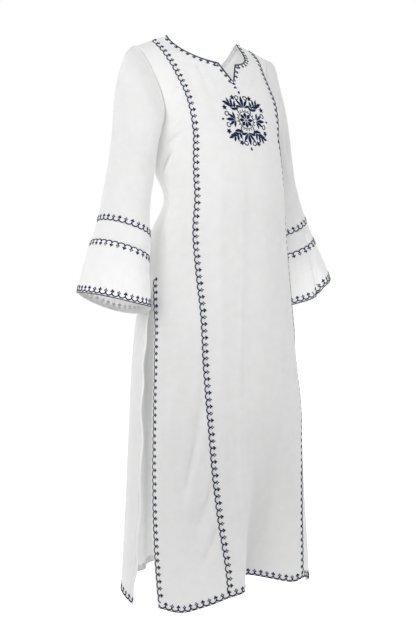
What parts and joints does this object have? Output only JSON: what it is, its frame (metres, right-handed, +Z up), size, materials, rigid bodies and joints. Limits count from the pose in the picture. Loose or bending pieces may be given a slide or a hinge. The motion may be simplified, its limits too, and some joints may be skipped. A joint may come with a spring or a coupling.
{
  "type": "kurti",
  "caption": "Long A-line white kurti with a round notched neck, princess seams, side slits and bell sleeves, held open as if worn.",
  "frame": {"origin": "midway between the two points where the shoulder seams meet the neck, from which the kurti hangs", "axes": "+Z up, the wearer faces -Y, so the wearer's left side is at +X"},
  "size_m": [0.7355, 0.3996, 1.3501],
  "materials": {
    "white_cloth": "matt, fine plain weave"
  },
  "bodies": {
    "root": {"front_centre": "white_cloth", "front_side_right": "white_cloth", "front_side_left": "white_cloth", "back": "white_cloth", "sleeve_upper_right": "white_cloth", "sleeve_band_right": "white_cloth", "sleeve_cuff_right": "white_cloth", "sleeve_upper_left": "white_cloth", "sleeve_band_left": "white_cloth", "sleeve_cuff_left": "white_cloth"}
  },
  "joints": []
}
